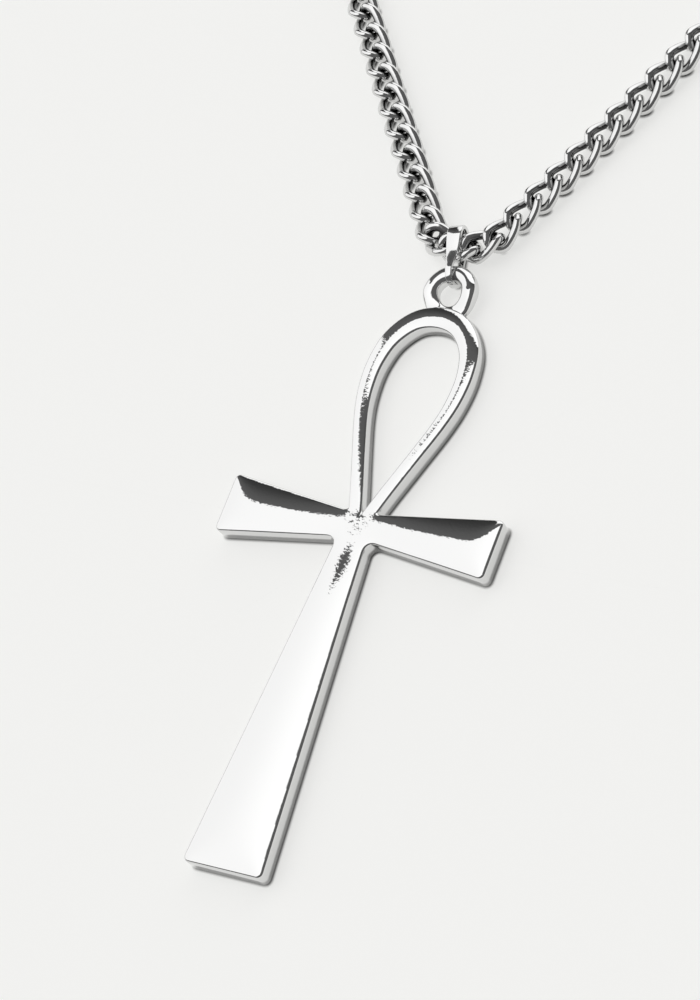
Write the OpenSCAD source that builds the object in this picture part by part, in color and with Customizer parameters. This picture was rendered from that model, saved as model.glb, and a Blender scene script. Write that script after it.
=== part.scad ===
// Ankh pendant on a curb chain, lying face up on a flat surface.
// X runs across the ankh, Y from its foot to its loop, Z up from the surface.
// The origin is the centre of the crossing, on the flat back.

/* [Ankh] */
// Length of the stem, from the crossing to the foot
stem_len = 52; // [40:0.5:70]
// Width of the stem at the foot
stem_foot_w = 12.9; // [9:0.1:18]
// Width of the stem at the crossing
stem_neck_w = 4.5; // [3:0.1:7]
// Distance between the tips of the two arms
arm_span = 43.8; // [32:0.2:60]
// Height of an arm at its tip
arm_tip_w = 9.2; // [6:0.1:13]
// Height of an arm at the crossing
arm_root_w = 3.6; // [2.5:0.1:6]
// Height of the loop, from the crossing to its top
loop_h = 34.9; // [28:0.1:45]
// Width of the loop over the outside of its band
loop_w = 17.2; // [14:0.1:24]
// Width of the loop's band at its top
band_top_w = 3.4; // [2.4:0.1:4.5]
// Width of the loop's band where it joins the crossing
band_foot_w = 2.1; // [1.6:0.1:3]
// Thickness of the ankh at its edges
edge_h = 2.9; // [2:0.1:4]
// Steepness of the crowned front at the edges, as rise over run
crown_slope = 0.35; // [0.1:0.05:0.6]
// Radius of the outer corners, seen from the front
corner_r = 1; // [0.4:0.1:1.5]
// Radius of the inner corners between the arms and the stem
armpit_r = 1.5; // [0.5:0.1:3]

/* [Eye] */
// Diameter of the hole in the eye above the loop
eye_hole_d = 4; // [3.6:0.1:6]
// Width of the eye's ring, seen from the front
eye_ring_w = 2.2; // [1.4:0.1:2.4]
// Height of the eye's ring, front to back
eye_ring_h = 2.5; // [2.4:0.1:3]
// How far the eye's ring is sunk into the top of the loop
eye_sink = 1.8; // [0.8:0.1:2.2]

/* [Bail] */
// Thickness of the bail's strap
strap_t = 0.6; // [0.4:0.05:0.8]
// Width of the strap at the end that holds the chain
strap_far_w = 2.2; // [1.6:0.1:2.3]
// Width of the strap in the eye
strap_near_w = 1; // [0.8:0.1:1.6]
// Angle that the bail has swung to the left of the ankh's middle line
bail_swing = 10; // [5:1:11]
// Clearance between the bail and what it holds
bail_play = 0.18; // [0.15:0.01:0.3]
// Length of the bail's neck, between the eye and the chain's link
bail_neck = 0.6; // [0.3:0.1:2]

/* [Chain] */
// Thickness of the wire of the links
wire_d = 1.05; // [0.95:0.05:1.1]
// Length of a link over its ends
link_len = 6.45; // [6.35:0.05:7.4]
// Width of a link over its sides
link_w = 4.6; // [4.45:0.05:5.2]
// Twist of a link from its middle to either end
link_twist = 50; // [42:1:54]
// Free travel between two neighbouring links
link_play = 0.32; // [0.2:0.01:0.45]
// Length of the whole necklace, clasp and bail link included
necklace_len = 556; // [400:1:800]
// Angle between the two strands where they leave the bail
strand_angle = 65; // [60:1:80]
// Turn of the necklace to the left of the ankh's middle line
necklace_turn = 4; // [0:0.5:10]

/* [Clasp] */
// Thickness of the wire of the two jump rings
ring_wire_d = 0.8; // [0.6:0.05:0.9]
// Diameter of a jump ring over its outside
ring_d = 4.7; // [4.6:0.1:5]
// Roll of a jump ring about the chain, away from lying flat
ring_roll = 50; // [45:1:60]
// Free travel between a jump ring and the chain's last link
ring_play = 0.3; // [0.2:0.05:0.4]
// Free travel between a jump ring and the clasp
clasp_play = 0.55; // [0.5:0.05:0.6]
// Length of the clasp over its hook and tail
clasp_len = 15.5; // [15.5:0.5:18]
// Diameter of the clasp's round body
clasp_body_d = 3.8; // [3.6:0.1:4]
// Diameter of the hole in the clasp's tail, and width of the one in its hook
clasp_hole_d = 4.4; // [4.3:0.1:4.6]
// Length of the hole in the clasp's hook
hook_hole_len = 4.8; // [4.6:0.1:6]
// Width of the metal round the clasp's holes
clasp_rim = 1; // [0.8:0.05:1.1]
// Thickness of the metal round the clasp's holes
clasp_rim_t = 0.9; // [0.8:0.05:1]

/* [Hidden] */

$fn = 48;
polished = "silver";
// Smallest overlap that joins two solids of one casting
weld = 0.02;

// Stations along a limb: share of its length from the crossing, share of the full crown
limb_rows = [[-0.02, 0.7], [0.08, 0.9], [0.25, 1], [0.6, 1], [0.8, 1], [0.9, 0.85]];
// Stations at a limb's tip: distance from the tip and inset of the sides in corner radii, share of the crown
tip_rows = [[2, 0, 0.55], [1, 0, 0.3], [0.3, 0.25, 0.1], [0, 0.8, 0]];
// Points across the crown, as shares of the half width
crown_steps = [-1, -0.8, -0.5, -0.2, 0.2, 0.5, 0.8, 1];

// Half of the loop's band from its top down: x and y of its middle line as shares of the loop's
// half width and height, and the band's width as a share of the way from its foot to its top
band_rows = [
    [0.00, 0.952, 1.00],
    [0.42, 0.924, 0.95],
    [0.73, 0.835, 0.80],
    [0.85, 0.720, 0.52],
    [0.84, 0.600, 0.32],
    [0.735, 0.480, 0.12],
    [0.51, 0.320, 0.02],
    [0.29, 0.170, 0.00],
    [0.13, 0.055, 0.00]
];
// Steps of the smooth curve between two rows of the band
band_steps = 3;

eye_r = (eye_hole_d + eye_ring_w) / 2;
eye_y = loop_h - eye_sink + eye_r + eye_ring_w / 2;
eye_reach = (eye_ring_h - eye_ring_w) / 2;
// Gap between the surface and what is held just above it
floor_gap = 0.1;
// The strap bends round the eye's ring at this radius, with rows 40 degrees apart
wrap_step = 40;
wrap_r = (eye_ring_w / 2 + bail_play) / cos(wrap_step / 2);
// The strap passes under the eye, so the eye's ring sits higher than the back of the ankh
strap_top = floor_gap + strap_t;
eye_z = strap_top + wrap_r + eye_reach;

// Links
wire_r = wire_d / 2;
link_a = link_len / 2 - wire_r;
link_b = link_w / 2 - wire_r;
pitch = link_len - 2 * wire_d - link_play;
// Directions round each half-round end of a link, five a side
end_angles = [90, 45, 0, -45, -90];
wire_sides = 5;

// A point of the link's flat oval turns about the link's length in step with its place along it
function twisted(p) = let (t = -link_twist * p.x / link_a) [p.x, p.y * cos(t), p.y * sin(t)];
function link_face(x) = let (t = -link_twist * x / link_a) [0, -sin(t), cos(t)];
flat_oval = concat(
    [for (a = end_angles) [link_a - link_b + link_b * cos(a), link_b * sin(a)]],
    [for (a = end_angles) [-link_a + link_b - link_b * cos(a), -link_b * sin(a)]]
);
link_line = [for (p = flat_oval) twisted(p)];
link_rise = max([for (p = link_line) p.z]) + wire_r;

// Bail, in side view: the eye's ring at the near end, the chain's link at the far end
link_seat = eye_r + eye_ring_w / 2 + bail_play + bail_neck + link_w / 2;
// Room beyond the link, which lies at a slight angle to the bail
far_slack = 0.3;
bail_far = link_seat + link_w / 2 + far_slack;
// Half the height of the link where the strap's edges cross it
seat_rise = link_b * sin(link_twist * strap_far_w / 2 / link_a) + wire_r;
bail_lift = max(0, strap_top + bail_play + seat_rise - link_rise);
seat_top = link_rise + bail_lift + seat_rise + bail_play;
bail_top = seat_top + 0.3;
far_r = 0.9;
function wrap(angle, reach) = [eye_r + wrap_r * cos(angle), eye_z + reach + wrap_r * sin(angle)];

// Rows along the strap's inner face, once round: place along the bail, height, share of the far width
bail_rows = [
    [each wrap(180, 0), 0],
    [each wrap(180 - wrap_step, eye_reach), 0],
    [each wrap(180 - 2 * wrap_step, eye_reach), 0],
    [eye_r + 0.5 * wrap_r, eye_z + eye_reach + wrap_r, 0.1],
    [link_seat - 0.25 * link_w, seat_top, 0.75],
    [link_seat + 0.25 * link_w, bail_top, 1],
    [bail_far - 0.5 * far_r, bail_top - 0.25 * far_r, 1],
    [bail_far, bail_top - far_r, 1],
    [bail_far, strap_top + far_r, 0.6],
    [bail_far - 0.5 * far_r, strap_top, 0.3],
    [link_seat, strap_top, 0.1],
    [link_seat - link_w / 2, strap_top, 0],
    [each wrap(180 + 2 * wrap_step, -eye_reach), 0],
    [each wrap(180 + wrap_step, -eye_reach), 0]
];

// The links beside the one in the bail: step as a share of the pitch, share of the turn into the strand
bend_rows = [[0.87, 0.5], [0.88, 0.5]];
// Share of the bail's lift that each link keeps, from the one in the bail outwards
lift_rows = [1, 0.84, 0.59, 0.35, 0.13];

// Route of one strand in the necklace's own frame: the bail's link at the origin, Y up its middle line
half_turn = (180 - strand_angle) / 2;
turn_1 = bend_rows[0][1] * half_turn;
turn_2 = turn_1 + bend_rows[1][1] * half_turn;
function along(angle, length) = length * [cos(angle), sin(angle)];
bend_1 = along(turn_1 / 2, bend_rows[0][0] * pitch);
bend_2 = bend_1 + along((turn_1 + turn_2) / 2, bend_rows[1][0] * pitch);

ring_r = (ring_d - ring_wire_d) / 2;
ring_z = floor_gap + ring_r * sin(ring_roll) + ring_wire_d / 2;
// From the last link's centre to its jump ring's, and from there to the middle of the clasp
ring_step = link_a - wire_r - ring_play - ring_wire_d / 2 + ring_r;
clasp_step = ring_r - ring_wire_d / 2 - clasp_play - clasp_rim + clasp_len / 2;
end_len = ring_step + clasp_step;
// The last link is lifted part of the way to its jump ring's height
end_lift = 0.3 * (ring_z - link_rise);
strand_n = floor((necklace_len / 2 - end_len - (bend_rows[0][0] + bend_rows[1][0]) * pitch) / pitch);
route_len = strand_n * pitch + end_len;
arc_turn = 180 - half_turn;
arc_r = (route_len + bend_2.x / cos(half_turn)) / (tan(half_turn) + arc_turn * PI / 180);
straight_len = (arc_r * sin(half_turn) - bend_2.x) / cos(half_turn);
arc_centre = bend_2 + along(half_turn, straight_len) + along(half_turn + 90, arc_r);

function route_heading(s) = half_turn + max(0, s - straight_len) / arc_r * 180 / PI;
function route_point(s) = s < straight_len
    ? bend_2 + along(half_turn, s)
    : arc_centre + along(route_heading(s) - 90, arc_r);
function link_point(k) = k == 0 ? [0, 0] : k == 1 ? bend_1 : route_point((k - 2) * pitch);
function link_heading(k) = k == 0 ? 0 : k == 1 ? turn_1 : route_heading((k - 2) * pitch);
strand_last = strand_n + 2;
function link_lift(k) = k < len(lift_rows) ? lift_rows[k] * bail_lift : k == strand_last ? end_lift : 0;

function unit(v) = v / norm(v);
// Smooth curve through the rows p1 and p2, with their neighbours p0 and p3
function smooth(p0, p1, p2, p3, t) = 0.5 * (
    2 * p1 + (p2 - p0) * t + (2 * p0 - 5 * p1 + 4 * p2 - p3) * t * t
    + (3 * p1 - p0 - 3 * p2 + p3) * t * t * t
);
function mirrored(row) = [-row.x, row.y, row.z];

half_rows = [for (r = band_rows) [
    r.x * loop_w / 2,
    r.y * loop_h,
    (band_foot_w + r.z * (band_top_w - band_foot_w)) / 2
]];
rows_n = len(half_rows);
function band_row(i) = i < 0 ? mirrored(half_rows[-i]) : half_rows[min(i, rows_n - 1)];
half_line = [
    for (i = [0 : rows_n - 2], t = [0 : 1 / band_steps : 0.99])
        smooth(band_row(i - 1), band_row(i), band_row(i + 1), band_row(i + 2), t),
    band_row(rows_n - 1)
];
half_n = len(half_line);
// Middle line of the whole band from its left foot over the top to its right foot
band_line = concat([for (i = [half_n - 1 : -1 : 1]) mirrored(half_line[i])], half_line);

// Upright section of a limb or band, as points across it and their heights: flat back, walls and crown
function section(half_w, crown) =
    let (rise = crown * crown_slope * half_w / 2)
    concat(
        [[-half_w, 0]],
        [for (s = crown_steps) [s * half_w, edge_h + rise * (1 - s * s)]],
        [[half_w, 0]]
    );

function limb_ring(y, half_w, crown) = [for (p = section(half_w, crown)) [p.x, y, p.y]];

function limb_rings(length, root_w, tip_w) = concat(
    [for (r = limb_rows) limb_ring(r.x * length, (root_w + r.x * (tip_w - root_w)) / 2, r.y)],
    [for (r = tip_rows)
        let (y = length - r.x * corner_r, half_w = (root_w + y / length * (tip_w - root_w)) / 2)
        limb_ring(y, half_w - r.y * corner_r, r.z)]
);

function band_ring(i) =
    let (
        n = len(band_line),
        row = band_line[i],
        way = band_line[min(i + 1, n - 1)] - band_line[max(i - 1, 0)],
        across = unit([way.y, -way.x])
    )
    [for (p = section(row.z, 1)) [row.x + p.x * across.x, row.y + p.x * across.y, p.y]];

// Faces of the band between n rings of m points each, or of the whole tube where it is closed
function skin(n, m, closed = false) = [
    for (i = [0 : n - (closed ? 1 : 2)], k = [0 : m - 1])
        let (a = i * m, b = ((i + 1) % n) * m, k2 = (k + 1) % m)
        each [[a + k, b + k2, a + k2], [a + k, b + k, b + k2]]
];

// Solid through rings of points, with flat ends
module loft(rings) {
    n = len(rings);
    m = len(rings[0]);
    first = [for (k = [0 : m - 1]) k];
    last = [for (k = [m - 1 : -1 : 0]) (n - 1) * m + k];
    polyhedron([for (r = rings) each r], concat([first, last], skin(n, m)));
}

// Ring-shaped solid through a closed row of rings of points
module closed_loft(rings)
    polyhedron([for (r = rings) each r], skin(len(rings), len(rings[0]), true));

module limb_plan(length, root_w, tip_w) {
    polygon([[-root_w / 2, 0], [root_w / 2, 0], [tip_w / 2, length], [-tip_w / 2, length]]);
}

// Rounds the inner corners between the stem and the arms
module armpit_plan()
    intersection() {
        translate([0, -arm_root_w]) square([2 * armpit_r + stem_neck_w, 2 * arm_root_w], center = true);
        offset(delta = -weld) offset(r = -armpit_r) offset(delta = armpit_r) {
            rotate(180) limb_plan(stem_len, stem_neck_w, stem_foot_w);
            for (side = [-90, 90])
                rotate(side) limb_plan(arm_span / 2, arm_root_w, arm_tip_w);
        }
    }

module ankh() color(polished) {
    rotate(180) loft(limb_rings(stem_len, stem_neck_w, stem_foot_w));
    for (side = [-90, 90])
        rotate(side) loft(limb_rings(arm_span / 2, arm_root_w, arm_tip_w));
    loft([for (i = [0 : len(band_line) - 1]) band_ring(i)]);
    linear_extrude(edge_h) armpit_plan($fn = 32);
    translate([0, eye_y, eye_z])
        rotate_extrude($fn = 32)
            hull()
                for (end = [-eye_reach, eye_reach])
                    translate([eye_r, end]) circle(d = eye_ring_w, $fn = 12);
}

// Section of the strap at row i: its inner face at the row, its outer face a strap's thickness away
function strap_ring(i) =
    let (
        n = len(bail_rows),
        row = bail_rows[i],
        way = bail_rows[(i + 1) % n] - bail_rows[(i + n - 1) % n],
        out = strap_t * unit([-way.y, way.x]),
        half_w = (strap_near_w + row.z * (strap_far_w - strap_near_w)) / 2
    )
    [
        [-half_w, row.x, row.y],
        [half_w, row.x, row.y],
        [half_w, row.x + out.x, row.y + out.y],
        [-half_w, row.x + out.x, row.y + out.y]
    ];

module bail() color(polished)
    translate([0, eye_y, 0])
        rotate(bail_swing)
            closed_loft([for (i = [0 : len(bail_rows) - 1]) strap_ring(i)]);

// Section of the wire at point i of the link's line
function wire_ring(i) =
    let (
        n = len(link_line),
        t = unit(link_line[(i + 1) % n] - link_line[(i + n - 1) % n]),
        face = link_face(link_line[i].x),
        u = unit(face - (face * t) * t),
        v = cross(t, u)
    )
    [for (k = [0 : wire_sides - 1])
        let (a = k * 360 / wire_sides) link_line[i] + wire_r * (cos(a) * u + sin(a) * v)];

module link()
    closed_loft([for (i = [0 : len(link_line) - 1]) wire_ring(i)]);

// Puts a piece on the route of the right strand, or with side = -1 of the left one
module on_route(point, heading, side, z) {
    translate([0, eye_y, 0])
        rotate(bail_swing)
            translate([0, link_seat, 0])
                rotate(necklace_turn - bail_swing)
                    translate([side * point.x, point.y, z])
                        rotate(side * heading)
                            children();
}

module strand(side, first) color(polished)
    for (k = [first : strand_last])
        on_route(link_point(k), link_heading(k), side, link_rise + link_lift(k))
            link();

module chain_left() strand(-1, 1);

module chain_right() strand(1, 0);

module jump_ring(side) color(polished) {
    s = strand_n * pitch + ring_step;
    on_route(route_point(s), route_heading(s), side, ring_z)
        rotate([side * ring_roll, 0, 0])
            rotate_extrude()
                translate([ring_r, 0]) circle(d = ring_wire_d);
}

module jump_ring_left() jump_ring(-1);

module jump_ring_right() jump_ring(1);

// Rim round a hole of the clasp that may be drawn out to an oval
module clasp_rim_plan(hole_len, grow) {
    reach = (hole_len - clasp_hole_d) / 2;
    hull()
        for (end = [-reach, reach])
            translate([end, 0]) circle(d = clasp_hole_d + 2 * grow);
}

// Hook at the right end, round body, tail at the left end
module clasp() color(polished) {
    tail_x = clasp_rim + clasp_hole_d / 2 - clasp_len / 2;
    hook_x = clasp_len / 2 - clasp_rim - hook_hole_len / 2;
    body_from = tail_x + clasp_hole_d / 2 + clasp_body_d / 2;
    body_to = hook_x - hook_hole_len / 2 - clasp_body_d / 2;
    on_route(route_point(route_len), 180, 1, floor_gap + clasp_body_d / 2)
        rotate(180) {
            translate([0, 0, -clasp_rim_t / 2])
                linear_extrude(clasp_rim_t)
                    difference() {
                        union() {
                            translate([tail_x, 0]) clasp_rim_plan(clasp_hole_d, clasp_rim);
                            translate([hook_x, 0]) clasp_rim_plan(hook_hole_len, clasp_rim);
                        }
                        translate([tail_x, 0]) clasp_rim_plan(clasp_hole_d, 0);
                        translate([hook_x, 0]) clasp_rim_plan(hook_hole_len, 0);
                    }
            translate([body_from, 0, 0]) sphere(d = clasp_body_d);
            translate([body_to, 0, 0]) sphere(d = clasp_body_d);
            translate([body_from, 0, 0])
                rotate([0, 90, 0]) cylinder(h = body_to - body_from, d = clasp_body_d);
        }
}

ankh();
bail();
chain_left();
chain_right();
jump_ring_left();
jump_ring_right();
clasp();
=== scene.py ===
import math

import bmesh
import bpy
import numpy
from mathutils import Euler, Matrix, Vector


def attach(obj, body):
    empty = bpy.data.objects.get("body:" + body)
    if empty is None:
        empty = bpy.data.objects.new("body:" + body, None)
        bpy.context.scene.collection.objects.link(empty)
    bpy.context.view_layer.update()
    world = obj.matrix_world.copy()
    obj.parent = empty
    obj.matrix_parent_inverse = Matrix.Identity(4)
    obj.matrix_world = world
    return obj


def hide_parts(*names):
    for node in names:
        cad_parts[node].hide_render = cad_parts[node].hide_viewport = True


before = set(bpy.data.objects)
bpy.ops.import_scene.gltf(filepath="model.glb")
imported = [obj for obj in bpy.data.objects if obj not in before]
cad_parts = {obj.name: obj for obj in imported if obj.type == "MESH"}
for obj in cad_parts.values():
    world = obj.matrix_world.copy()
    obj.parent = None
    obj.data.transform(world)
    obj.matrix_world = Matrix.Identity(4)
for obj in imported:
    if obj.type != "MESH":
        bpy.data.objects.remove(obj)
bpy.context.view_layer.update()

# Camera.
# It looks down at the pendant from its right-hand side, at the photograph's angle and distance.
# Sizes in this file are in mm, and mm turns them into Blender's metres.
mm = 0.001
camera_from = (261.3, -157.8, 411.7)
camera_turn = (29.17, 24.02, 22.46)
camera_data = bpy.data.cameras.new("camera")
camera_data.sensor_width = 36
camera_data.lens = 133.2
camera = bpy.data.objects.new("camera", camera_data)
camera.location = Vector(camera_from) * mm
camera.rotation_euler = Euler([math.radians(a) for a in camera_turn], "XYZ")
bpy.context.collection.objects.link(camera)
bpy.context.scene.camera = camera

# Surface that the pendant lies on.
# A large matt sheet of white paper, wide enough to fill every reflection below the horizon. It has
# a painted glow of its own that keeps its shadows light, and the glow is dimmed close to anything
# on it as painted contact shadow.
surface_half = 8000
paper_color = (0.32, 0.32, 0.314)
painted_glow_color = (1, 1, 0.983)
painted_paper_glow = 0.632
# Share of open sky over a point of the paper at which its painted glow goes out, and from which it
# is full: painted contact shadow
painted_glow_out = 0.4
painted_glow_full = 0.97
shade_reach = 0.5


def new_material(name, color, metallic, roughness):
    material = bpy.data.materials.new(name)
    material.use_nodes = True
    shader = material.node_tree.nodes["Principled BSDF"]
    shader.inputs["Base Color"].default_value = (*color, 1)
    shader.inputs["Metallic"].default_value = metallic
    shader.inputs["Roughness"].default_value = roughness
    return material, material.node_tree, shader


def remap(tree, value, start, end, low, high, curve="LINEAR"):
    """Node output that goes from low to high while the value goes from start to end."""
    node = tree.nodes.new("ShaderNodeMapRange")
    node.interpolation_type = curve
    settings = {"From Min": start, "From Max": end, "To Min": low, "To Max": high}
    for name, setting in settings.items():
        node.inputs[name].default_value = setting
    tree.links.new(value, node.inputs["Value"])
    return node.outputs["Result"]


def finish_mesh(bm, name, material):
    bmesh.ops.recalc_face_normals(bm, faces=bm.faces[:])
    mesh = bpy.data.meshes.new(name)
    bm.to_mesh(mesh)
    bm.free()
    mesh.materials.append(material)
    mesh.shade_smooth()
    piece = bpy.data.objects.new(name, mesh)
    bpy.context.collection.objects.link(piece)
    return piece


paper, paper_tree, paper_shader = new_material(
    "pale_paper", paper_color, metallic=0, roughness=0.9
)
paper_shader.inputs["Specular IOR Level"].default_value = 0.1
# Painted glow, not a lamp: the paper gives off light, dimmed by the open sky over it into painted
# contact shadow
paper_shader.inputs["Emission Color"].default_value = (*painted_glow_color, 1)
open_sky = paper_tree.nodes.new("ShaderNodeAmbientOcclusion")
open_sky.inputs["Distance"].default_value = shade_reach * mm
open_sky.samples = 8
painted_glow_strength = remap(paper_tree, open_sky.outputs["AO"], painted_glow_out, painted_glow_full, 0, painted_paper_glow)
paper_tree.links.new(painted_glow_strength, paper_shader.inputs["Emission Strength"])
bm = bmesh.new()
bmesh.ops.create_grid(bm, x_segments=2, y_segments=2, size=surface_half * mm)
finish_mesh(bm, "surface", paper)

# Studio light.
# A bright cloth overhead, tilted down to the left, in a dark room. It ends behind the pendant in a
# hem of two straight runs, a bright window shows beyond it, and a lamp shines through its left.
cloth_light = 1.31
cloth_left_share = 0.94
cloth_right_share = 1.07
room_light = 0.045
hem_light = 0.13
lamp_light = 0.4
lamp_spread = 50
lamp_from = (-0.5, 0.3, 0.81)
# Each edge is a plane that cuts the sky: a vector across it, and how far along it the edge lies
cloth_edge = (-0.6, 0.05, 0.8), 0.66
hem_left = (-0.2, 1, 0), 0.445
hem_right = (0.38, 1, 0), 0.155
window_side = (0.857, 0.514, 0), -0.038
window_sill = (-0.316, 0.949, 0), 0.595
cloth_blur = 0.04
window_blur = 0.03
hem_blur = 0.012
hem_light_reach = 0.35
# Between these values of a direction's x the cloth grows brighter
cloth_dim_x = -0.9
cloth_full_x = 0.1

world = bpy.data.worlds.new("studio")
world.use_nodes = True
bpy.context.scene.world = world
studio = world.node_tree
background = studio.nodes["Background"]
background.inputs["Color"].default_value = (1, 1, 1, 1)
direction = studio.nodes.new("ShaderNodeTexCoord")
axes = studio.nodes.new("ShaderNodeSeparateXYZ")
studio.links.new(direction.outputs["Generated"], axes.inputs[0])


def math_node(tree, operation, *values):
    """Output of a math node fed with numbers or other nodes' outputs."""
    node = tree.nodes.new("ShaderNodeMath")
    node.operation = operation
    for socket, value in zip(node.inputs, values):
        if isinstance(value, (int, float)):
            socket.default_value = value
        else:
            tree.links.new(value, socket)
    return node.outputs[0]


def beyond(towards, start):
    """How far a direction lies beyond an edge."""
    parts = [math_node(studio, "MULTIPLY", axes.outputs[k], v) for k, v in zip("XYZ", towards)]
    total = math_node(studio, "ADD", math_node(studio, "ADD", parts[0], parts[1]), parts[2])
    return math_node(studio, "SUBTRACT", total, start)


def fade(value, start, end, low=0, high=1):
    return remap(studio, value, start, end, low, high, "SMOOTHSTEP")


overhead = fade(beyond(*cloth_edge), -cloth_blur, cloth_blur)
beyond_hem = math_node(studio, "MINIMUM", beyond(*hem_left), beyond(*hem_right))
cloth = math_node(studio, "MULTIPLY", overhead, fade(beyond_hem, hem_blur, 0))
window = math_node(
    studio, "MULTIPLY",
    fade(beyond(*window_side), 0, window_blur), fade(beyond(*window_sill), 0, window_blur),
)
bright = math_node(studio, "MAXIMUM", cloth, window)
bright_level = fade(
    axes.outputs["X"], cloth_dim_x, cloth_full_x,
    cloth_left_share * cloth_light, cloth_right_share * cloth_light,
)
dark_level = fade(beyond_hem, 0, hem_light_reach, hem_light, room_light)
level = math_node(
    studio, "ADD", math_node(studio, "MULTIPLY", bright, bright_level),
    math_node(studio, "MULTIPLY", math_node(studio, "SUBTRACT", 1, bright), dark_level),
)
studio.links.new(level, background.inputs["Strength"])

lamp_data = bpy.data.lights.new("lamp", "SUN")
lamp_data.energy = lamp_light
lamp_data.angle = math.radians(lamp_spread)
lamp = bpy.data.objects.new("lamp", lamp_data)
lamp.rotation_euler = Vector(lamp_from).to_track_quat("Z", "Y").to_euler()
lamp.visible_glossy = False
bpy.context.collection.objects.link(lamp)
bpy.context.scene.view_settings.view_transform = "Standard"

# Ankh.
# One zinc casting: a flat-backed cross with a teardrop loop, its front crowned like a pillow from
# edge to edge and mirror polished, with a round eye cast on top of the loop.
stem_len = 52
stem_foot_w = 12.9
stem_neck_w = 4.5
arm_span = 43.8
arm_tip_w = 9.2
arm_root_w = 3.6
loop_h = 34.9
loop_w = 17.2
band_top_w = 3.4
band_foot_w = 2.1
band_steps = 10
# Half of the band from its top down: x and y of its middle line, and its width, as shares
band_rows = (
    (0.00, 0.952, 1.00),
    (0.42, 0.924, 0.95),
    (0.73, 0.835, 0.80),
    (0.85, 0.720, 0.52),
    (0.84, 0.600, 0.32),
    (0.735, 0.480, 0.12),
    (0.51, 0.320, 0.02),
    (0.29, 0.170, 0.00),
    (0.13, 0.055, 0.00),
)
# Least distance of the band's points from the arm's edge and from the middle of the ankh, and
# how far the tip of the hole lies below the last of them
band_clear = 0.1
hole_tip = 0.4
corner_r = 1
armpit_r = 1.5
crook_r = 0.5
corner_steps = 6
edge_h = 2.9
rim_r = 0.32
rim_steps = 4
base_r = 0.4
# The crown rises from the rim at crown_slope. A share of it is missing at the crossing and returns
# over dip_r, and from fall_start up the loop it falls by loop_fall with each mm
crown_slope = 0.35
crossing_dip = 0.84
dip_r = 5
loop_fall = 0.013
fall_start = 5
cell = 0.4
weld = 0.001


def smooth_line(rows, steps, closed=False):
    """Points on a smooth curve through the rows, which may hold any number of values each."""
    rows = [numpy.array(r, float) for r in rows]
    count = len(rows)
    points = []
    for i in range(count if closed else count - 1):
        if closed:
            p0, p1, p2, p3 = (rows[(i + k) % count] for k in (-1, 0, 1, 2))
        else:
            p0, p1, p2, p3 = (rows[min(max(i + k, 0), count - 1)] for k in (-1, 0, 1, 2))
        for t in numpy.arange(steps) / steps:
            points.append(0.5 * (
                2 * p1 + (p2 - p0) * t + (2 * p0 - 5 * p1 + 4 * p2 - p3) * t**2
                + (3 * p1 - p0 - 3 * p2 + p3) * t**3
            ))
    if not closed:
        points.append(rows[-1])
    return numpy.array(points)


band_half = [
    (x * loop_w / 2, y * loop_h, (band_foot_w + w * (band_top_w - band_foot_w)) / 2)
    for x, y, w in band_rows
]
# The second row, mirrored in front of the first, keeps the curve level at the top
left_row = (-band_half[1][0], *band_half[1][1:])
band_line = smooth_line([left_row, *band_half], band_steps)[band_steps:]
band_way = numpy.gradient(band_line[:, :2], axis=0)
band_way[0] = (1, 0)
band_way /= numpy.linalg.norm(band_way, axis=1)[:, None]
outward = numpy.stack([-band_way[:, 1], band_way[:, 0]], 1)
outer_line = band_line[:, :2] + outward * band_line[:, 2:]
inner_line = band_line[:, :2] - outward * band_line[:, 2:]

tip_x = arm_span / 2
stem_slope = (stem_foot_w - stem_neck_w) / 2 / stem_len
# About the slope of the arm's edge, which is near enough to place the armpit
arm_slope = 0.13
armpit_x = (stem_neck_w / 2 + stem_slope * arm_root_w / 2) / (1 - stem_slope * arm_slope)


def arm_edge(x):
    return (arm_root_w + x / tip_x * (arm_tip_w - arm_root_w)) / 2


# Right half of the outline: foot, arm, outside of the loop, then back down inside the loop
half_outline = [
    (0, -stem_len),
    (stem_foot_w / 2, -stem_len),
    (armpit_x, -arm_edge(armpit_x)),
    (tip_x, -arm_tip_w / 2),
    (tip_x, arm_tip_w / 2),
]
over_arm = [p for p in outer_line[::-1] if p[1] > arm_edge(p[0]) + band_clear]
crook_x = over_arm[0][0]
half_outline += [(crook_x, arm_edge(crook_x)), *over_arm[:-1]]
half_outline += [(0, outer_line[0][1]), (0, inner_line[0][1])]
half_outline += [p for p in inner_line[1:] if p[0] > band_clear]
half_outline.append((0, half_outline[-1][1] - hole_tip))

bm = bmesh.new()
corners = [bm.verts.new((x, y, base_r)) for x, y in half_outline]
bm.faces.new(corners)
for vert, radius in zip(corners[1:6], (corner_r, armpit_r, corner_r, corner_r, crook_r)):
    bmesh.ops.bevel(
        bm, geom=[vert], offset=radius, affect="VERTICES", segments=corner_steps, profile=0.5,
        material=-1,
    )
bmesh.ops.mirror(bm, geom=bm.verts[:] + bm.edges[:] + bm.faces[:], axis="X", merge_dist=weld)
bmesh.ops.recalc_face_normals(bm, faces=bm.faces[:])
if bm.faces[:][0].normal.z < 0:
    bmesh.ops.reverse_faces(bm, faces=bm.faces[:])

outline_edges = numpy.array(
    [[v.co[:2] for v in e.verts] for e in bm.edges if len(e.link_faces) == 1]
)


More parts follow.
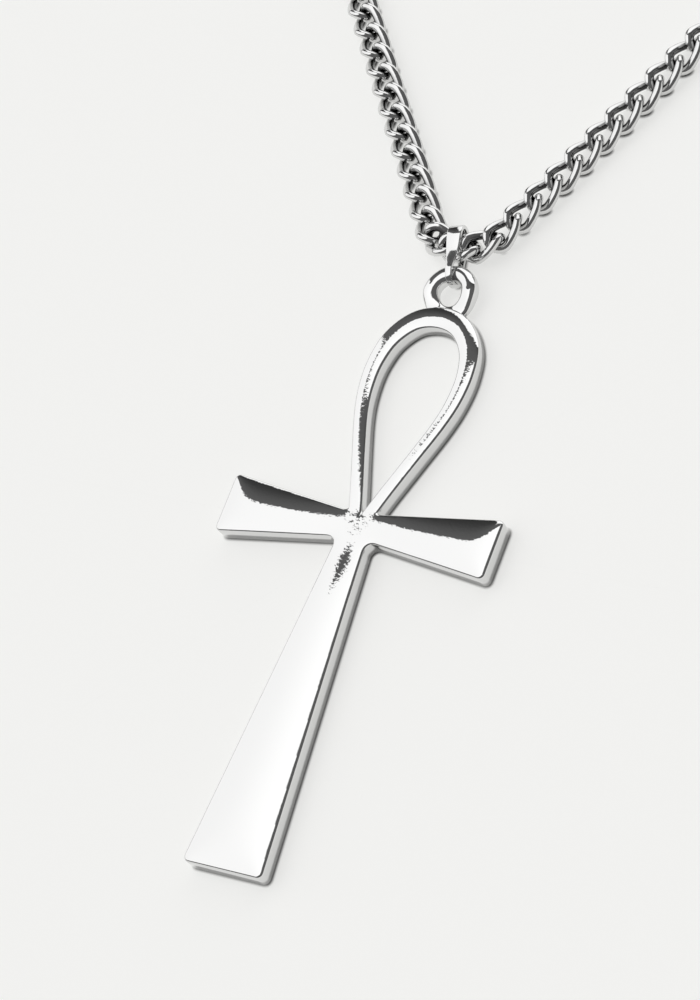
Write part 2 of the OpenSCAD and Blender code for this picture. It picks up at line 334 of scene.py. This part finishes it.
def crown_height(points, batch=2000, least=1e-5):
    """Height of the crowned front, from its slope and the harmonic mean distance to the outline."""
    a = outline_edges[None, :, 0]
    b = outline_edges[None, :, 1]
    along = (b - a) / numpy.linalg.norm(b - a, axis=2)[:, :, None]
    heights = []
    for group in numpy.array_split(points, 1 + len(points) // batch):
        to_a = a - group[:, None]
        to_b = b - group[:, None]
        aside = numpy.abs(to_a[..., 0] * along[..., 1] - to_a[..., 1] * along[..., 0])
        aside = numpy.maximum(aside, least)
        seen_to_a = numpy.arctan((to_a * along).sum(2) / aside)
        seen_to_b = numpy.arctan((to_b * along).sum(2) / aside)
        heights.append(crown_slope * math.pi / ((seen_to_b - seen_to_a) / aside).sum(1))
    return numpy.concatenate(heights)


def verts_of(faces):
    return list(dict.fromkeys(v for f in faces for v in f.verts))


def inset_faces(faces, profile):
    """Insets and raises the faces by each step of an edge's profile."""
    for inset, rise in profile:
        bmesh.ops.inset_region(bm, faces=faces, thickness=inset, use_even_offset=True)
        bmesh.ops.translate(bm, verts=verts_of(faces), vec=(0, 0, rise))


def quarter_round(radius, steps):
    """Profile of a rounded edge, as steps inwards and upwards."""
    angles = [math.pi / 2 * k / steps for k in range(steps + 1)]
    return [
        (radius * (math.cos(a) - math.cos(b)), radius * (math.sin(b) - math.sin(a)))
        for a, b in zip(angles, angles[1:])
    ]


def front_faces(slack=0.01, upright=0.9):
    """Faces of the front inside its rounded rim."""
    return [
        f for f in bm.faces
        if f.calc_center_median().z > edge_h - slack and f.normal.z > upright
    ]


walls = bmesh.ops.extrude_face_region(bm, geom=bm.faces[:])
front = [g for g in walls["geom"] if isinstance(g, bmesh.types.BMFace)]
bmesh.ops.translate(bm, verts=verts_of(front), vec=(0, 0, edge_h - rim_r - base_r))
inset_faces(front, quarter_round(rim_r, rim_steps))
back = [f for f in bm.faces if f.calc_center_median().z < base_r + weld]
inset_faces(back, [(base_r, -base_r)])
# The front is cut into small cells, which are then raised into its crown
for across, low, high in (
    (Vector((1, 0, 0)), -tip_x, tip_x),
    (Vector((0, 1, 0)), -stem_len, loop_h),
):
    for k in range(int((high - low) / cell)):
        top = front_faces()
        top_edges = list(dict.fromkeys(e for f in top for e in f.edges))
        bmesh.ops.bisect_plane(
            bm, geom=verts_of(top) + top_edges + top, dist=weld,
            plane_co=across * (low + (k + 0.5) * cell), plane_no=across,
        )
raised = [v for v in bm.verts if v.co.z > edge_h - rim_r - weld]
rises = crown_height(numpy.array([v.co[:2] for v in raised]))
for vert, rise in zip(raised, rises):
    dip = crossing_dip * math.exp(-vert.co.xy.length_squared / (2 * dip_r**2))
    vert.co.z += rise * (1 - dip) - loop_fall * max(0, vert.co.y - fall_start)

eye_hole_d = 4
eye_ring_w = 2.2
eye_ring_h = 2.5
eye_sink = 1.8
eye_band = 1.2
# Power of the eye's section: 2 is round, and more is squarer
eye_power = 2.5
# The eye thins over eye_taper towards the loop, down to a share eye_tuck of the rim's height
eye_taper = 3.2
eye_tuck = 0.97
# The bail's strap passes under the eye and holds it at its height
floor_gap = 0.1
strap_t = 0.6
wrap_step = 40
bail_play = 0.18
eye_r = (eye_hole_d + eye_ring_w) / 2
eye_y = loop_h - eye_sink + eye_r + eye_ring_w / 2
eye_reach = (eye_ring_h - eye_ring_w) / 2
strap_top = floor_gap + strap_t
wrap_r = (eye_ring_w / 2 + bail_play) / math.cos(math.radians(wrap_step / 2))
eye_z = strap_top + wrap_r + eye_reach
eye_mid = eye_r + eye_ring_w / 2 - eye_band


def wire_ring(bm, ring_r, wire_r, sides, steps, turn=math.tau):
    """Adds a round ring of round wire, lying flat round the origin."""
    wire = bmesh.ops.create_circle(
        bm, segments=sides, radius=wire_r,
        matrix=Matrix.Translation((ring_r, 0, 0)) @ Matrix.Rotation(math.pi / 2, 4, "X"),
    )["verts"]
    before = set(bm.verts) - set(wire)
    bmesh.ops.spin(
        bm, geom=list(dict.fromkeys(e for v in wire for e in v.link_edges)), axis=(0, 0, 1),
        cent=(0, 0, 0), angle=turn, steps=steps, use_merge=turn == math.tau,
    )
    return [v for v in bm.verts if v not in before]


# The eye's round wire is pressed into a flatter band with rounded corners
eye = wire_ring(bm, eye_mid, eye_band, sides=40, steps=96)
for vert in eye:
    reach = math.hypot(vert.co.x, vert.co.y)
    aside = (reach - eye_mid) / eye_band
    above = vert.co.z / eye_band
    stretch = (abs(aside)**eye_power + abs(above)**eye_power) ** (-1 / eye_power)
    pressed = eye_mid + (reach - eye_mid) * stretch
    vert.co.x *= pressed / reach
    vert.co.y *= pressed / reach
    vert.co.z *= stretch * eye_ring_h / 2 / eye_band
bmesh.ops.translate(bm, verts=eye, vec=(0, eye_y, eye_z))
# Towards the loop it thins, and goes in under the rim of the front
loop_top = outer_line[:3 * band_steps]
join_z = edge_h - rim_r - loop_fall * (loop_h - fall_start)
join_share = eye_tuck * join_z / (eye_z + eye_ring_h / 2)
for vert in eye:
    beyond_loop = vert.co.y - numpy.interp(abs(vert.co.x), loop_top[:, 0], loop_top[:, 1])
    away = min(max(beyond_loop / eye_taper, 0), 1)
    vert.co.z *= join_share + (1 - join_share) * away**2 * (3 - 2 * away)

plating_color = (0.73, 0.73, 0.727)
# The polishing wheel doesn't reach into the crossing, so pits stay there: full within pits_full of
# its middle, and none beyond pits_end
pit_size = 0.7
pit_depth = 0.12
pits_full = 0.8
pits_end = 4


def add_piece(bm, name, material, node):
    """Turns a mesh in mm into a piece that stands for a CAD node."""
    bmesh.ops.scale(bm, verts=bm.verts[:], vec=(mm, mm, mm))
    piece = finish_mesh(bm, name, material)
    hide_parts(node)
    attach(piece, "root")
    return piece


def unevenness(tree, size, detail):
    """Noise with bumps of about this size in mm, fixed to the object."""
    position = tree.nodes.new("ShaderNodeTexCoord")
    noise = tree.nodes.new("ShaderNodeTexNoise")
    noise.inputs["Scale"].default_value = 1 / (size * mm)
    noise.inputs["Detail"].default_value = detail
    tree.links.new(position.outputs["Object"], noise.inputs["Vector"])
    return noise.outputs["Fac"]


def add_relief(tree, height, depth):
    """Lays a relief of this depth in mm over those that the material has."""
    relief = tree.nodes.new("ShaderNodeBump")
    relief.inputs["Distance"].default_value = depth * mm
    tree.links.new(height, relief.inputs["Height"])
    normal = tree.nodes["Principled BSDF"].inputs["Normal"]
    if normal.is_linked:
        tree.links.new(normal.links[0].from_socket, relief.inputs["Normal"])
    tree.links.new(relief.outputs["Normal"], normal)


def plated_metal(name, color, roughness, peel_size, peel_depth):
    """Bright nickel-like plating with the faint orange peel that plating leaves, sizes in mm."""
    material, tree, _ = new_material(name, color, metallic=1, roughness=roughness)
    add_relief(tree, unevenness(tree, peel_size, detail=1), peel_depth)
    return material


ankh_plating = plated_metal(
    "ankh_plating", plating_color, roughness=0.02, peel_size=0.45, peel_depth=0.006
)
tree = ankh_plating.node_tree
position = tree.nodes.new("ShaderNodeTexCoord")
from_crossing = tree.nodes.new("ShaderNodeVectorMath")
from_crossing.operation = "LENGTH"
tree.links.new(position.outputs["Object"], from_crossing.inputs[0])
unpolished = remap(tree, from_crossing.outputs["Value"], pits_full * mm, pits_end * mm, 1, 0)
pits = math_node(tree, "MULTIPLY", unevenness(tree, pit_size, detail=2), unpolished)
add_relief(tree, pits, pit_depth)
add_piece(bm, "ankh_casting", ankh_plating, "ankh")

# Bail.
# A strip of sheet metal folded round into one closed loop: narrow where it passes through the eye,
# wide and rolled over where it holds the chain, with its cut edges tumbled round.
strap_far_w = 2.2
strap_near_w = 1
strap_steps = 6
bail_swing = 12
bail_neck = 0.6
seat_w = 4.6
seat_top = 3.6
seat_play = 0.3
crest_rise = 0.3
far_r = 0.9
# The strap's edges that turn by more than this angle, in radians, are cut ones and are rounded
sharp_angle = 1.2
cut_edge_r = 0.16
strap_color = (0.71, 0.71, 0.707)
link_seat = eye_r + eye_ring_w / 2 + bail_play + bail_neck + seat_w / 2
bail_far = link_seat + seat_w / 2 + seat_play
bail_top = seat_top + crest_rise


def wrap(angle, reach):
    """Place along the bail and height of the strap's inner face where it wraps the eye."""
    turn = math.radians(angle)
    return eye_r + wrap_r * math.cos(turn), eye_z + reach + wrap_r * math.sin(turn)


# Along the strap's inner face: place along the bail, height, share of the far width
bail_rows = (
    (*wrap(180, 0), 0),
    (*wrap(180 - wrap_step, eye_reach), 0),
    (*wrap(180 - 2 * wrap_step, eye_reach), 0),
    (eye_r + 0.5 * wrap_r, eye_z + eye_reach + wrap_r, 0.1),
    (link_seat - 0.25 * seat_w, seat_top, 0.75),
    (link_seat + 0.25 * seat_w, bail_top, 1),
    (bail_far - 0.5 * far_r, bail_top - 0.25 * far_r, 1),
    (bail_far, bail_top - far_r, 1),
    (bail_far, strap_top + far_r, 0.6),
    (bail_far - 0.5 * far_r, strap_top, 0.3),
    (link_seat, strap_top, 0.1),
    (link_seat - seat_w / 2, strap_top, 0),
    (*wrap(180 + 2 * wrap_step, -eye_reach), 0),
    (*wrap(180 + wrap_step, -eye_reach), 0),
)
strap_line = smooth_line(bail_rows, strap_steps, closed=True)
strap_way = (numpy.roll(strap_line, -1, 0) - numpy.roll(strap_line, 1, 0))[:, :2]
strap_way /= numpy.linalg.norm(strap_way, axis=1)[:, None]
outer_face = strap_line[:, :2] + strap_t * numpy.stack([-strap_way[:, 1], strap_way[:, 0]], 1)

# The strap is made 1 mm wide, then drawn out to its width at each place
bm = bmesh.new()
for line in (strap_line, outer_face):
    ring = [bm.verts.new((-0.5, p[0], p[1])) for p in line]
    for a, b in zip(ring, ring[1:] + ring[:1]):
        bm.edges.new((a, b))
bmesh.ops.bridge_loops(bm, edges=bm.edges[:])
other_side = bmesh.ops.extrude_face_region(bm, geom=bm.faces[:])["geom"]
other_verts = [g for g in other_side if isinstance(g, bmesh.types.BMVert)]
bmesh.ops.translate(bm, verts=other_verts, vec=(1, 0, 0))
for vert in bm.verts:
    near = numpy.linalg.norm(strap_line[:, :2] - vert.co[1:], axis=1).argmin()
    vert.co.x *= strap_near_w + strap_line[near, 2] * (strap_far_w - strap_near_w)
bmesh.ops.recalc_face_normals(bm, faces=bm.faces[:])
cut_edges = [e for e in bm.edges if abs(e.calc_face_angle_signed(0)) > sharp_angle]
bmesh.ops.bevel(
    bm, geom=cut_edges, offset=cut_edge_r, affect="EDGES", segments=3, profile=0.5, material=-1
)
bmesh.ops.rotate(bm, verts=bm.verts[:], matrix=Matrix.Rotation(math.radians(bail_swing), 3, "Z"))
bmesh.ops.translate(bm, verts=bm.verts[:], vec=(0, eye_y, 0))
bail_plating = plated_metal(
    "bail_plating", strap_color, roughness=0.08, peel_size=0.9, peel_depth=0.008
)
add_piece(bm, "bail_strap", bail_plating, "bail")

# Curb chain.
# Links of round wire, each twisted about its length so that the chain lies flat, closed, soldered
# and plated. Every link lies where the CAD's link lies.
wire_d = 1.4
wire_sides = 16
link_len = 6.94
link_w = 4.88
link_steps = 32
link_twist = 50
link_rise = 0.26
# Places along a link where its straight sides are divided, so that they follow the twist
link_cuts = (-0.6, 0, 0.6)
link_color = (0.7, 0.7, 0.697)
# Painted shade on the inner side of each link, where the wires shade each other: its colour, and
# how fast it fades from the inside
painted_shade_color = (0.04, 0.04, 0.04)
painted_shade_power = 1.5
# Half the length and width of the line along the middle of the wire
link_a = link_len / 2 - wire_d / 2
link_b = link_w / 2 - wire_d / 2

bm = bmesh.new()
wire_ring(bm, link_b, wire_d / 2, wire_sides, link_steps)
painted_inner_shade = bm.verts.layers.float.new("painted_inner_shade")
# Share of painted shade at each point of the wire, full where it faces the middle of the link
for vert in bm.verts:
    inwards = (link_b - vert.co.xy.length) / (wire_d / 2)
    vert[painted_inner_shade] = max(0, inwards)**painted_shade_power
# Turned by half a step, the ring has no points at its middle, where its halves are drawn apart
bmesh.ops.rotate(bm, verts=bm.verts[:], matrix=Matrix.Rotation(math.pi / link_steps, 3, "Z"))
for vert in bm.verts:
    vert.co.x += math.copysign(link_a - link_b, vert.co.x)
for cut_x in link_cuts:
    bmesh.ops.bisect_plane(
        bm, geom=bm.verts[:] + bm.edges[:] + bm.faces[:], plane_co=(cut_x, 0, 0), plane_no=(1, 0, 0)
    )
for vert in bm.verts:
    turn = math.radians(-link_twist * vert.co.x / link_a)
    vert.co = Matrix.Rotation(turn, 3, "X") @ vert.co
link_mesh = bpy.data.meshes.new("link")
bm.to_mesh(link_mesh)
bm.free()


def link_places(node):
    """Centre and heading of each link of a chain node, in mm and radians."""
    shape = bmesh.new()
    shape.from_mesh(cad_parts[node].data)
    bmesh.ops.remove_doubles(shape, verts=shape.verts, dist=weld * mm)
    left = dict.fromkeys(shape.verts)
    places = []
    while left:
        link = [left.popitem()[0]]
        for vert in link:
            for edge in vert.link_edges:
                neighbour = edge.other_vert(vert)
                if neighbour in left:
                    del left[neighbour]
                    link.append(neighbour)
        points = numpy.array([v.co for v in link]) / mm
        centre = points.mean(0)
        x, y = (points - centre)[:, :2].T
        heading = math.atan2(2 * (x * y).mean(), (x * x).mean() - (y * y).mean()) / 2
        places.append((centre, heading))
    shape.free()
    return places


chain_plating = plated_metal(
    "chain_plating", link_color, roughness=0.1, peel_size=0.6, peel_depth=0.009
)
# Painted shade darkens the inner side of the links, where the wires shade each other
tree = chain_plating.node_tree
inside = tree.nodes.new("ShaderNodeAttribute")
inside.attribute_name = "painted_inner_shade"
painted_shade_mix = tree.nodes.new("ShaderNodeMix")
painted_shade_mix.data_type = "RGBA"
painted_shade_mix.inputs["A"].default_value = (*link_color, 1)
painted_shade_mix.inputs["B"].default_value = (*painted_shade_color, 1)
tree.links.new(inside.outputs["Fac"], painted_shade_mix.inputs["Factor"])
tree.links.new(painted_shade_mix.outputs["Result"], tree.nodes["Principled BSDF"].inputs["Base Color"])
for side in ("left", "right"):
    bm = bmesh.new()
    for centre, heading in link_places("chain_" + side):
        start = len(bm.verts)
        bm.from_mesh(link_mesh)
        bm.verts.ensure_lookup_table()
        lifted = Vector(centre) + Vector((0, 0, link_rise))
        lay = Matrix.Translation(lifted) @ Matrix.Rotation(heading, 4, "Z")
        bmesh.ops.transform(bm, verts=bm.verts[start:], matrix=lay)
    add_piece(bm, "curb_chain_" + side, chain_plating, "chain_" + side)

# Jump rings.
# A round ring of thinner wire at either end of the chain, bent shut with its cut ends butted.
ring_wire_d = 0.8
ring_d = 4.7
ring_r = (ring_d - ring_wire_d) / 2
# Gap between the cut ends, as an angle in radians
cut_turn = 0.03


def node_place(node, turn=0):
    """Middle of a CAD node's box, measured along axes turned about Z, and its points about it."""
    points = numpy.array([v.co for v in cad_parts[node].data.vertices]) / mm
    turned_axes = numpy.array(Matrix.Rotation(turn, 3, "Z"))
    turned = points @ turned_axes
    centre = turned_axes @ ((turned.min(0) + turned.max(0)) / 2)
    return centre, points - centre


for side in ("left", "right"):
    bm = bmesh.new()
    wire_ring(bm, ring_r, ring_wire_d / 2, wire_sides, steps=56, turn=math.tau - cut_turn)
    bmesh.ops.holes_fill(bm, edges=[e for e in bm.edges if e.is_boundary], sides=wire_sides)
    # The ring lies in the plane in which the CAD's ring spreads most
    centre, points = node_place("jump_ring_" + side)
    tilt = Matrix(numpy.linalg.svd(points, full_matrices=False)[2]).transposed()
    if tilt.determinant() < 0:
        tilt.col[2].negate()
    bmesh.ops.transform(bm, verts=bm.verts[:], matrix=Matrix.Translation(centre) @ tilt.to_4x4())
    add_piece(bm, "ring_" + side, chain_plating, "jump_ring_" + side)

# Clasp.
# A plain closed clasp, cast in one piece and plated: a round barrel between a tail eye and a longer
# hook eye, which hold the two jump rings.
necklace_turn = math.radians(4)
clasp_len = 15.5
clasp_body_d = 3.8
clasp_hole_d = 4.4
hook_hole_len = 4.8
clasp_rim = 1
clasp_rim_t = 0.9

tail_x = clasp_rim + clasp_hole_d / 2 - clasp_len / 2
hook_x = clasp_len / 2 - clasp_rim - hook_hole_len / 2
body_from = tail_x + clasp_hole_d / 2
body_to = hook_x - hook_hole_len / 2
body_half = (body_to - body_from - clasp_body_d) / 2

bm = bmesh.new()
for rim_x, hole_len in ((tail_x, clasp_hole_d), (hook_x, hook_hole_len)):
    rim = wire_ring(bm, (clasp_hole_d + clasp_rim) / 2, clasp_rim / 2, wire_sides, steps=48)
    bmesh.ops.scale(bm, verts=rim, vec=(1, 1, clasp_rim_t / clasp_rim))
    for vert in rim:
        vert.co.x += rim_x + math.copysign((hole_len - clasp_hole_d) / 2, vert.co.x)
# With an odd number of rows the ball has no points at its middle, where its halves are drawn apart
body = bmesh.ops.create_uvsphere(
    bm, u_segments=40, v_segments=25, radius=clasp_body_d / 2,
    matrix=Matrix.Rotation(math.pi / 2, 4, "Y"),
)["verts"]
for vert in body:
    vert.co.x += (body_from + body_to) / 2 + math.copysign(body_half, vert.co.x)
centre, _ = node_place("clasp", necklace_turn)
lay = Matrix.Translation(centre) @ Matrix.Rotation(necklace_turn, 4, "Z")
bmesh.ops.transform(bm, verts=bm.verts[:], matrix=lay)
add_piece(bm, "clasp_body", chain_plating, "clasp")
